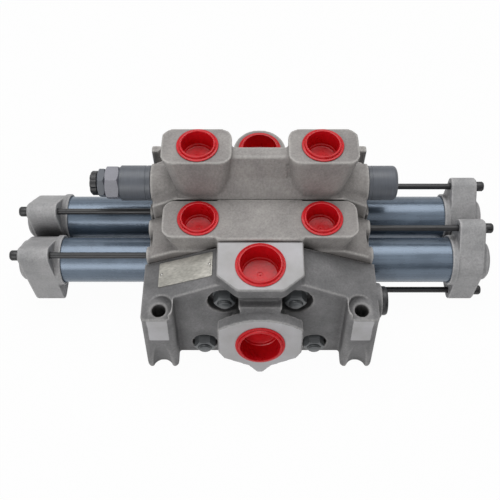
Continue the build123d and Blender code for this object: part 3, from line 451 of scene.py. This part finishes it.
bm = welded_copy("rear_section")
add_filler_block(bm, (-95, 25.5, -39), (95, 75, 44))
for side in (-1, 1):
    add_filler_round(bm, side * WORK_PORT_X, ROW_PITCH, 40, REAR_PORT_Z - PLUG_REACH, 13)
add_filler_round(bm, 0, 77, 30, 81.5 - PLUG_REACH, 15)
place_piece("rear_section", cast_skin(bm, TALL_SECTION_VOXEL, SECTION_ROUNDS), section_enamel, pi)

# %% [markdown]
# The four end caps are castings too, smaller and crisper, so they get the same skin with finer voxels
# and fewer rounds of smoothing.

# %% Wrap the four caps
CAP_VOXEL = 0.85
CAP_ROUNDS = 4
ROWS = {"middle": 0.0, "rear": ROW_PITCH}
SIDES = {"left": -1, "right": 1}

for row in ROWS:
    for side_name in SIDES:
        node = row + "_" + side_name + "_cap"
        place_piece(node, cast_skin(welded_copy(node), CAP_VOXEL, CAP_ROUNDS), cap_enamel, pi)

# %% [markdown]
# Turned parts are spun, as a lathe makes them: an outline of radius and height is drawn once and
# swept round the axis. A full spin with its ends merged closes the seam, and a point on the axis
# closes the pole. The piece is made upright at the origin and is then turned and moved to its place,
# mesh and all, so that its object stays at the origin as the frame asks.

# %% Turning helpers
TO_X = Matrix.Rotation(radians(90), 4, "Y")
TO_MINUS_X = Matrix.Rotation(radians(-90), 4, "Y")
TO_Y = Matrix.Rotation(radians(-90), 4, "X")
TO_MINUS_Y = Matrix.Rotation(radians(90), 4, "X")


def turned(outline, ring=False, segments=64):
    """Spin an outline of (radius, height) points in mm round Z; a ring's outline closes."""
    bm = bmesh.new()
    verts = [bm.verts.new((radius * MM, 0, height * MM)) for radius, height in outline]
    pairs = list(zip(verts, verts[1:]))
    if ring:
        pairs.append((verts[-1], verts[0]))
    edges = [bm.edges.new(pair) for pair in pairs]
    bmesh.ops.spin(bm, geom=verts + edges, cent=(0, 0, 0), axis=(0, 0, 1), angle=2 * pi,
                   steps=segments, use_merge=True)
    bmesh.ops.remove_doubles(bm, verts=bm.verts, dist=MERGE)
    bmesh.ops.recalc_face_normals(bm, faces=bm.faces)
    return bm


def put(bm, matrix):
    """Turn and move everything in a bmesh."""
    bmesh.ops.transform(bm, matrix=matrix, verts=bm.verts)
    return bm


def stamp(target, pattern, matrix):
    """Add a copy of one bmesh to another, turned and moved."""
    mesh = bpy.data.meshes.new("pattern")
    pattern.to_mesh(mesh)
    mesh.transform(matrix)
    target.from_mesh(mesh)
    bpy.data.meshes.remove(mesh)


def bank_place(x, y, z):
    """Translation to a place given in mm in the bank's frame."""
    return Matrix.Translation((Vector((x, y, z)) + BANK_ORIGIN) * MM)


def hexagon_radius(angle, across_flats):
    """Distance from the middle of a hexagon to its edge in one direction, a corner at angle 0."""
    from_flat = (angle % radians(60)) - radians(30)
    return across_flats / 2 / cos(from_flat)


# %% [markdown]
# The cup plugs are the brightest thing in the picture. Each has a broad flange that slopes out to a
# thin rim, a rounded inner lip where a thumb or a lever pulls it, a hollow with a little draft, a
# stiffening rib ring low in the hollow and the mould's gate mark in the middle of its floor.

# %% Port plugs
FLANGE_THICKNESS = 3.2
RIM = 4.6
PLUG_KINDS = {
    "work": {"flange": 19.5, "stem": 16.0, "depth": 18.0},
    "large": {"flange": 23.0, "stem": 20.0, "depth": 20.0},
    "rear": {"flange": 20.75, "stem": 17.2, "depth": 18.0},
}


def cup_plug(kind):
    """Cup plug, its flange's underside at the origin and its hollow upwards."""
    flange, stem, depth = (PLUG_KINDS[kind][key] for key in ("flange", "stem", "depth"))
    floor = 0.1 - depth
    inner = flange - RIM
    lip = FLANGE_THICKNESS
    return turned([
        (0, floor), (stem - 1.5, floor), (stem - 0.4, floor + 1), (stem, floor + 3.5),
        (stem, -1.2), (stem - 0.7, -0.8), (stem - 0.7, 0), (flange - 0.5, 0), (flange, 0.35),
        (flange, 0.9), (flange - 0.3, 1.25), (flange - 1.6, 1.6), (flange - 2.0, 1.3),
        (flange - 2.3, 1.3), (flange - 2.5, 1.8), (flange - 2.6, 2.6), (flange - 2.95, lip - 0.15),
        (flange - 3.4, lip), (inner + 0.7, lip), (inner + 0.15, lip - 0.25),
        (inner, lip - 0.9), (inner - 0.5, -2.0), (inner - 1.0, floor + 5.2),
        (inner - 1.9, floor + 4.6), (inner - 2.3, floor + 2.9), (inner - 3.2, floor + 2.5),
        (3.0, floor + 2.5), (2.6, floor + 2.2), (1.2, floor + 2.2), (0.8, floor + 2.9),
        (0, floor + 3.0),
    ], segments=96)


plug_places = {
    "top_port_plug": ("large", bank_place(0, -48.3, 68.5)),
    "tilted_port_plug": ("large", bank_place(0, -103.3, 17.4)
                         @ Matrix.Rotation(TILTED_PORT_ANGLE, 4, "X")),
    "rear_port_plug": ("rear", bank_place(0, 77, 81.5)),
}
for row, row_y in ROWS.items():
    for side_name, side in SIDES.items():
        height = MIDDLE_PORT_Z if row == "middle" else REAR_PORT_Z
        plug_places[row + "_" + side_name + "_port_plug"] = (
            "work", bank_place(side * WORK_PORT_X, row_y, height))
for node, (kind, matrix) in plug_places.items():
    stand_for(node, put(cup_plug(kind), matrix), red_polyethylene)

# %% [markdown]
# The spring tubes are drawn steel tube, sprayed before assembly. A spun ring with a small chamfer at
# each end is enough, because the cap's collar and the section's pad hide both ends.

# %% Spring tubes
TUBE_CHAMFER = 0.5

for row, row_y in ROWS.items():
    for side_name in SIDES:
        node = row + "_" + side_name + "_tube"
        low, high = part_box(node)
        start, end = low[0] / MM, high[0] / MM
        outer = (high[2] - low[2]) / 2 / MM
        inner = outer - 3.5
        tube = turned([
            (inner, start), (outer - TUBE_CHAMFER, start), (outer, start + TUBE_CHAMFER),
            (outer, end - TUBE_CHAMFER), (outer - TUBE_CHAMFER, end), (inner, end),
        ], ring=True, segments=96)
        along = Matrix.Translation((0, (low[1] + high[1]) / 2, (low[2] + high[2]) / 2)) @ TO_X
        stand_for(node, put(tube, along), tube_enamel)

# %% [markdown]
# The caps are held by long socket-head bolts. Each head is a turned knurled cylinder with a chamfered
# top and a hexagon socket. The head is spun with a round socket and the socket's points are then
# moved out or in to a hexagon, because 48 steps put one point on each corner.

# %% Cap bolts
BOLT_RADIUS = 3.0
HEAD_HEIGHT = 8.0
SOCKET_AF = 5.0
SOCKET_DEPTH = 4.0
KNURL_DEPTH = 0.22


def socket_head(radius, height, socket_af, socket_depth):
    """Cap-screw head standing on the origin, its socket upwards."""
    socket = socket_af / 2
    bm = turned([
        (0, 0), (radius - 0.3, 0), (radius, 0.3), (radius, height - 1.4),
        (radius - 0.25, height - 0.9), (radius - 0.9, height), (socket + 0.5, height),
        (socket, height - 0.4), (socket, height - socket_depth), (0, height - socket_depth - 1),
    ], segments=48)
    for vert in bm.verts:
        reach = hypot(vert.co.x, vert.co.y) / MM
        angle = atan2(vert.co.y, vert.co.x)
        if 0.1 < reach < socket + 0.6 and vert.co.z > (height - socket_depth - 0.5) * MM:
            grow = hexagon_radius(angle, socket_af) / socket
            vert.co.x *= grow
            vert.co.y *= grow
        elif reach > radius - 0.05:
            groove = KNURL_DEPTH * (round(angle / radians(7.5)) % 2)
            vert.co.x *= 1 - groove / reach
            vert.co.y *= 1 - groove / reach
    return bm


head_pattern = socket_head(5.0, HEAD_HEIGHT, SOCKET_AF, SOCKET_DEPTH)
bolts = bmesh.new()
for low, high in separate_solids("cap_bolts"):
    side = 1 if low.x > 0 else -1
    tip = low.x if side > 0 else high.x
    end = high.x if side > 0 else low.x
    length = abs(end - tip) / MM - HEAD_HEIGHT
    shank = turned([(0, 0), (BOLT_RADIUS - 0.6, 0), (BOLT_RADIUS, 0.8), (BOLT_RADIUS, length),
                    (0, length)], segments=24)
    centre = Vector((tip, (low.y + high.y) / 2, (low.z + high.z) / 2))
    lay = Matrix.Translation(centre) @ (TO_X if side > 0 else TO_MINUS_X)
    stamp(bolts, shank, lay)
    shank.free()
    stamp(bolts, head_pattern, lay @ Matrix.Translation((0, 0, length * MM)))
head_pattern.free()
stand_for("cap_bolts", bolts, black_steel)

# %% [markdown]
# Four tie rods hold the sections together. What shows of them is a threaded end in a nut on a washer,
# front and back. A screw thread is a helix, but its rings look the same at this size, so the outline
# of the rod's end is a zigzag of the thread's pitch.

# %% Tie rods
ROD_RADIUS = 6.0
THREAD_PITCH = 1.75
THREAD_DEPTH = 0.9
THREADED = 16.0


def threaded_end(start, step):
    """Zigzag outline of a threaded end from its tip inwards, as (radius, height) in mm."""
    points = [(0, start), (ROD_RADIUS - THREAD_DEPTH - 0.3, start)]
    for turn in range(int(THREADED / THREAD_PITCH)):
        crest = start + step * (0.9 + turn * THREAD_PITCH)
        points.append((ROD_RADIUS - 0.05, crest - step * 0.15))
        points.append((ROD_RADIUS - 0.05, crest + step * 0.15))
        points.append((ROD_RADIUS - THREAD_DEPTH, crest + step * THREAD_PITCH / 2))
    return points


for node in ("upper_tie_rods", "lower_tie_rods"):
    rods = bmesh.new()
    for low, high in separate_solids(node):
        front, back = low.y / MM, high.y / MM
        outline = threaded_end(front, 1) + threaded_end(back, -1)[::-1]
        rod = turned(outline, segments=32)
        stamp(rods, rod, Matrix.Translation(((low.x + high.x) / 2, 0, (low.z + high.z) / 2)) @ TO_Y)
        rod.free()
    stand_for(node, rods, rod_steel)

# %% [markdown]
# A hexagon nut is turned as well as milled: the lathe cuts a cone on each end, and where the cone
# meets the six flats it leaves the curved lines that make a nut look like a nut. The nut is spun with
# its corner radius, and each outer point is then pulled in to the hexagon and set at the height that
# the cone has at its new radius.

# %% Nuts and washers
CHAMFER_SLOPE = tan(radians(30))


def hexagon_nut(across_flats, height, bore):
    """Nut standing on the origin, chamfered at both ends."""
    cone = across_flats / 2 * 0.95
    corner = across_flats / 2 / cos(radians(30))
    rise = (corner - cone) * CHAMFER_SLOPE
    bm = turned([
        (bore, 0.8), (bore + 0.8, 0), (cone, 0), (corner, rise), (corner, height - rise),
        (cone, height), (bore + 0.8, height), (bore, height - 0.8),
    ], ring=True, segments=72)
    for vert in bm.verts:
        reach = hypot(vert.co.x, vert.co.y) / MM
        if reach > cone + 0.01:
            flat = hexagon_radius(atan2(vert.co.y, vert.co.x), across_flats)
            vert.co.x *= flat / reach
            vert.co.y *= flat / reach
            lift = (flat - cone) * CHAMFER_SLOPE * MM
            vert.co.z = lift if vert.co.z < height / 2 * MM else height * MM - lift
    return bm


nuts = bmesh.new()
for low, high in separate_solids("tie_rod_nuts"):
    size = (high - low) / MM
    across_flats = min(size.x, size.z)
    nut = hexagon_nut(across_flats, size.y, ROD_RADIUS + 0.05)
    turn = 0 if size.x > size.z else radians(30)
    lay = Matrix.Translation(((low.x + high.x) / 2, low.y, (low.z + high.z) / 2)) @ TO_Y
    stamp(nuts, nut, lay @ Matrix.Rotation(turn, 4, "Z"))
    nut.free()
stand_for("tie_rod_nuts", nuts, rod_steel)

washers = bmesh.new()
for low, high in separate_solids("tie_rod_washers"):
    size = (high - low) / MM
    outer = size.x / 2
    washer = turned([
        (ROD_RADIUS + 0.4, 0), (outer - 0.3, 0), (outer, 0.3), (outer, size.y - 0.5),
        (outer - 0.5, size.y), (ROD_RADIUS + 0.4, size.y),
    ], ring=True, segments=64)
    stamp(washers, washer,
          Matrix.Translation(((low.x + high.x) / 2, low.y, (low.z + high.z) / 2)) @ TO_Y)
    washer.free()
stand_for("tie_rod_washers", washers, rod_steel)

# %% [markdown]
# The relief cartridge on the left is a turned steel body: a groove near where it meets the casting, a
# plain barrel, a hexagon for the spanner, a lock nut and an adjusting knob with finger scallops. Its
# stem inside the casting is plain, because nobody sees it.

# %% Relief cartridge
SIDE_VALVE_Z = 59.6
HEX_AF = 30.0
STEM_RADIUS = 12.0
CARTRIDGE_RADIUS = 17.3


def valve_axis(x, lay):
    """Matrix that lays an upright piece on the side valves' axis, starting at x in mm."""
    return bank_place(x, ROW_PITCH, SIDE_VALVE_Z) @ lay


body_low, body_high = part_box("relief_body")
end_x = body_low[0] / MM
stem_x = body_high[0] / MM
hex_length, barrel_length = 14.0, 31.0
stem_length = stem_x - end_x - hex_length - barrel_length
barrel = turned([
    (0, 0), (STEM_RADIUS - 1, 0), (STEM_RADIUS, 1), (STEM_RADIUS, stem_length),
    (CARTRIDGE_RADIUS - 0.6, stem_length), (CARTRIDGE_RADIUS, stem_length + 0.6),
    (CARTRIDGE_RADIUS, stem_length + 4.0), (CARTRIDGE_RADIUS - 0.4, stem_length + 4.3),
    (CARTRIDGE_RADIUS - 0.4, stem_length + 5.3), (CARTRIDGE_RADIUS, stem_length + 5.6),
    (CARTRIDGE_RADIUS, stem_length + barrel_length - 1.4),
    (CARTRIDGE_RADIUS - 1.4, stem_length + barrel_length), (0, stem_length + barrel_length),
], segments=96)
spanner = hexagon_nut(HEX_AF, hex_length, 4.05)
cartridge = bmesh.new()
stamp(cartridge, barrel, valve_axis(stem_x, TO_MINUS_X))
stamp(cartridge, spanner, valve_axis(end_x + hex_length, TO_MINUS_X)
      @ Matrix.Rotation(radians(30), 4, "Z"))
barrel.free()
spanner.free()
relief = stand_for("relief_body", cartridge, cartridge_steel)
relief.data.materials.append(plated_steel)
for polygon in relief.data.polygons:
    polygon.material_index = int(polygon.center.x < (end_x + hex_length + 0.01) * MM)

# %% Lock nut and adjusting knob
nut_low, nut_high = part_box("relief_lock_nut")
nut_height = (nut_high[0] - nut_low[0]) / MM
lock_nut = hexagon_nut(26.0, nut_height, 4.05)
stand_for("relief_lock_nut",
          put(lock_nut, valve_axis(nut_high[0] / MM, TO_MINUS_X)
              @ Matrix.Rotation(radians(30), 4, "Z")), cartridge_steel)

KNOB_RADIUS = 12.0
KNOB_LOBES = 8
screw_low, screw_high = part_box("relief_adjuster")
screw_length = (screw_high[0] - screw_low[0]) / MM
knob_length = 7.5
knob = turned([
    (0, 0), (6.4, 0), (6.4, 4), (4, 4), (4, screw_length - knob_length),
    (KNOB_RADIUS - 1.2, screw_length - knob_length),
    (KNOB_RADIUS, screw_length - knob_length + 1.2), (KNOB_RADIUS, screw_length - 1.6),
    (KNOB_RADIUS - 1.6, screw_length), (3.8, screw_length), (3.4, screw_length - 0.4),
    (3.4, screw_length - 3.5), (0, screw_length - 3.9),
], segments=96)
for vert in knob.verts:
    reach = hypot(vert.co.x, vert.co.y) / MM
    if reach > KNOB_RADIUS - 2:
        scallop = max(0.0, -cos(KNOB_LOBES * atan2(vert.co.y, vert.co.x)))
        vert.co.x *= 1 - 0.1 * scallop
        vert.co.y *= 1 - 0.1 * scallop
stand_for("relief_adjuster", put(knob, valve_axis(screw_high[0] / MM, TO_MINUS_X)), black_steel)

# %% [markdown]
# The make-up check on the right hides behind a plain round cap. Its end is blended with a large
# radius, drawn here as an arc of points in the outline, and a shallow groove marks its seal.

# %% Make-up cap
cap_low, cap_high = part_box("makeup_cap")
cap_length = (cap_high[0] - cap_low[0]) / MM
head_length = 28.5
head_start = cap_length - head_length
CAP_RADIUS = 17.0
CAP_BLEND = 4.0
blend = [(CAP_RADIUS - CAP_BLEND * (1 - cos(a)), cap_length - CAP_BLEND * (1 - sin(a)))
         for a in (radians(step * 15) for step in range(7))]
makeup = turned([
    (0, 0), (STEM_RADIUS - 1, 0), (STEM_RADIUS, 1), (STEM_RADIUS, head_start),
    (CAP_RADIUS - 0.6, head_start), (CAP_RADIUS, head_start + 0.6),
    (CAP_RADIUS, head_start + 2.4), (CAP_RADIUS - 0.3, head_start + 2.7),
    (CAP_RADIUS - 0.3, head_start + 3.5), (CAP_RADIUS, head_start + 3.8),
] + blend + [(4.0, cap_length), (3.2, cap_length - 0.6), (0, cap_length - 0.6)], segments=96)
stand_for("makeup_cap", put(makeup, valve_axis(cap_low[0] / MM, TO_X)), cartridge_steel)

# %% [markdown]
# The last small part remade here is a screwed plug with a hexagon socket in the front section's side;
# the two plugs underneath that close the load checks are not remade. It shares the socket head of the
# bolts, only larger.

# %% Screwed plugs
plug_low, plug_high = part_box("side_plug")
HEAD_RADIUS = 14.0
SIDE_HEAD = 5.5
side_stem = (plug_high[0] - plug_low[0]) / MM - SIDE_HEAD
centre_y = (plug_low[1] + plug_high[1]) / 2
centre_z = (plug_low[2] + plug_high[2]) / 2
stem = turned([(0, 0), (8.2, 0), (9.0, 0.8), (9.0, side_stem), (0, side_stem)], segments=48)
screwed = bmesh.new()
lay = Matrix.Translation((plug_low[0], centre_y, centre_z)) @ TO_X
stamp(screwed, stem, lay)
stem.free()
head = socket_head(HEAD_RADIUS, SIDE_HEAD, 8.0, 4.0)
stamp(screwed, head, lay @ Matrix.Translation((0, 0, side_stem * MM)))
head.free()
stand_for("side_plug", screwed, black_steel)

# %% [markdown]
# The nameplate is stamped from thin sheet: it has rounded corners and edges that the punch rolled
# over slightly. It is left blank. Two drive pins with domed heads hold it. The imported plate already
# has the outline, so a welded copy of it gets its coplanar triangles dissolved and its upper edge
# bevelled.

# %% Blank nameplate and pins
plate = welded_copy("nameplate")
bmesh.ops.dissolve_limit(plate, angle_limit=radians(3), verts=plate.verts, edges=plate.edges)
slope_normal = Vector((-sin(SHOULDER_SLOPE), 0, cos(SHOULDER_SLOPE)))
rim = [edge for edge in plate.edges if len(edge.link_faces) == 2
       and any(face.normal.dot(slope_normal) > 0.9 for face in edge.link_faces)
       and any(face.normal.dot(slope_normal) < 0.5 for face in edge.link_faces)]
bmesh.ops.bevel(plate, geom=rim, offset=0.3 * MM, offset_type="OFFSET", segments=3, profile=0.5,
                affect="EDGES", material=-1)
stand_for("nameplate", plate, plate_aluminium)

pins = bmesh.new()
PIN_RADIUS = 1.6
PIN_HEIGHT = 1.0
PLATE_THICKNESS = 0.8
dome = [(PIN_RADIUS * cos(radians(a)), PLATE_THICKNESS + PIN_HEIGHT * sin(radians(a)))
        for a in range(0, 90, 15)]
pin = turned([(0, 0), (PIN_RADIUS / 2, 0), (PIN_RADIUS / 2, PLATE_THICKNESS)] + dome
             + [(0, PLATE_THICKNESS + PIN_HEIGHT)], segments=24)
lean = Matrix.Rotation(-SHOULDER_SLOPE, 4, "Y")
for low, high in separate_solids("nameplate_pins"):
    middle = (low + high) / 2 - slope_normal * (PLATE_THICKNESS + PIN_HEIGHT) / 2 * MM
    stamp(pins, pin, Matrix.Translation(middle) @ lean)
pin.free()
stand_for("nameplate_pins", pins, zinc_steel)

# %% [markdown]
# The stage is plain: a pale floor, a broad soft light from above and behind, so that the tops are
# light and the fronts fall into shade as in the photograph, and a weak fill. The floor shows white to
# the camera and in reflections through the Light Path node, and keeps a soft shadow of the bank.

# %% Floor
FLOOR_SIZE = 6.0
FLOOR_GLOW = 0.97


def seen_as_white(tree):
    """1 for rays from the camera, a mirror or glass, 0 for the rays that light the bank."""
    path = add_node(tree, "ShaderNodeLightPath")
    mirrored = add_node(tree, "ShaderNodeMath", {
        0: path.outputs["Is Glossy Ray"], 1: path.outputs["Is Transmission Ray"]},
        operation="MAXIMUM")
    seen = add_node(tree, "ShaderNodeMath", {
        0: path.outputs["Is Camera Ray"], 1: mirrored.outputs["Value"]}, operation="MAXIMUM")
    return seen.outputs["Value"]


def white_floor():
    """Floor that the camera and glossy surfaces see as white, with a soft shadow."""
    material, tree = new_material("white_floor")
    diffuse = add_node(tree, "ShaderNodeBsdfDiffuse", {"Color": (0.8, 0.8, 0.8, 1)})
    glow = add_node(tree, "ShaderNodeEmission", {"Color": (1, 1, 1, 1), "Strength": 1.0})
    share = add_node(tree, "ShaderNodeMath", {0: seen_as_white(tree), 1: FLOOR_GLOW},
                     operation="MULTIPLY")
    mix = add_node(tree, "ShaderNodeMixShader", {
        0: share.outputs["Value"], 1: diffuse.outputs["BSDF"], 2: glow.outputs["Emission"]})
    add_node(tree, "ShaderNodeOutputMaterial", {"Surface": mix.outputs["Shader"]})
    return material


floor_bm = bmesh.new()
bmesh.ops.create_grid(floor_bm, x_segments=1, y_segments=1, size=FLOOR_SIZE / 2)
floor_mesh = bpy.data.meshes.new("floor")
floor_bm.to_mesh(floor_mesh)
floor_bm.free()
floor = bpy.data.objects.new("floor", floor_mesh)
floor.data.materials.append(white_floor())
bpy.context.scene.collection.objects.link(floor)

# %% Lamps and world
BANK_MIDDLE = Vector((0, 0, 0.05))


def area_light(name, place, size, power):
    """Soft box aimed at the middle of the bank."""
    data = bpy.data.lights.new(name, "AREA")
    data.shape = "RECTANGLE"
    data.size, data.size_y = size
    data.energy = power
    lamp = bpy.data.objects.new(name, data)
    lamp.location = place
    lamp.rotation_euler = (BANK_MIDDLE - Vector(place)).to_track_quat("-Z", "Y").to_euler()
    bpy.context.scene.collection.objects.link(lamp)
    print(name, "power:", power)


area_light("overhead", (0.0, 0.45, 1.3), (1.4, 0.9), 12.5)
area_light("front_fill", (-0.4, -1.3, 0.6), (0.9, 0.7), 6.5)

card_bm = bmesh.new()
bmesh.ops.create_grid(card_bm, x_segments=1, y_segments=1, size=0.5,
                      matrix=Matrix.Translation((1.1, -1.5, 0.78)) @ Matrix.Rotation(pi / 2, 4, "X")
                      @ Matrix.Diagonal((2.0, 1.0, 1, 1)))
card_mesh = bpy.data.meshes.new("dark_card")
card_bm.to_mesh(card_mesh)
card_bm.free()
card = bpy.data.objects.new("dark_card", card_mesh)
card.visible_camera = False
card.visible_diffuse = False
card.visible_shadow = False
card_material, tree = new_material("black_flag")
black = add_node(tree, "ShaderNodeBsdfDiffuse", {"Color": (0.01, 0.01, 0.01, 1)})
add_node(tree, "ShaderNodeOutputMaterial", {"Surface": black.outputs["BSDF"]})
card.data.materials.append(card_material)
bpy.context.scene.collection.objects.link(card)

world = bpy.data.worlds.new("studio")
bpy.context.scene.world = world
world.use_nodes = True
tree = world.node_tree
tree.nodes.clear()
plain = add_node(tree, "ShaderNodeBackground", {"Color": (1, 1, 1, 1), "Strength": 0.2})
white = add_node(tree, "ShaderNodeBackground", {"Color": (1, 1, 1, 1), "Strength": 1.0})
studio = add_node(tree, "ShaderNodeMixShader", {
    0: seen_as_white(tree), 1: plain.outputs["Background"], 2: white.outputs["Background"]})
add_node(tree, "ShaderNodeOutputWorld", {"Surface": studio.outputs["Shader"]})
bpy.context.scene.view_settings.view_transform = "Standard"
